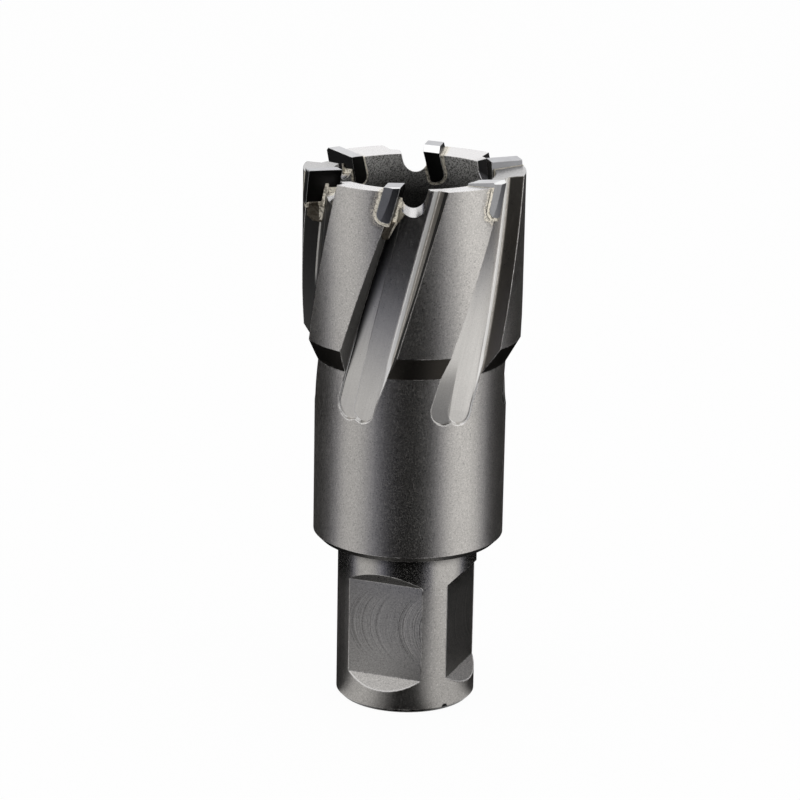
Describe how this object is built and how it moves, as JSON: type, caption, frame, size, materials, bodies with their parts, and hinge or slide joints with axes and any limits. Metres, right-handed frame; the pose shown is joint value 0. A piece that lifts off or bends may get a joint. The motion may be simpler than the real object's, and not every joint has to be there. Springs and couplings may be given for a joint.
{
  "type": "annular cutter",
  "caption": "Hollow core cutter for metal: a stepped body on a flatted shank, with slanted flutes and brazed carbide tips round its rim.",
  "frame": {"origin": "centre of the end face of the shank, on the cutter's axis", "axes": "+Z along the cutter's axis from the shank to the teeth; -Y is the side the picture looks at"},
  "size_m": [0.0296, 0.0298, 0.0745],
  "materials": {
    "coated_steel": "dark satin coating",
    "carbide": "ground dark grey",
    "braze": "rough pale gold"
  },
  "bodies": {
    "root": {"cutter_body": "coated_steel", "carbide_tip_1": "carbide", "carbide_tip_2": "carbide", "carbide_tip_3": "carbide", "carbide_tip_4": "carbide", "carbide_tip_5": "carbide", "carbide_tip_6": "carbide", "braze_1": "braze", "braze_2": "braze", "braze_3": "braze", "braze_4": "braze", "braze_5": "braze", "braze_6": "braze"}
  },
  "joints": []
}
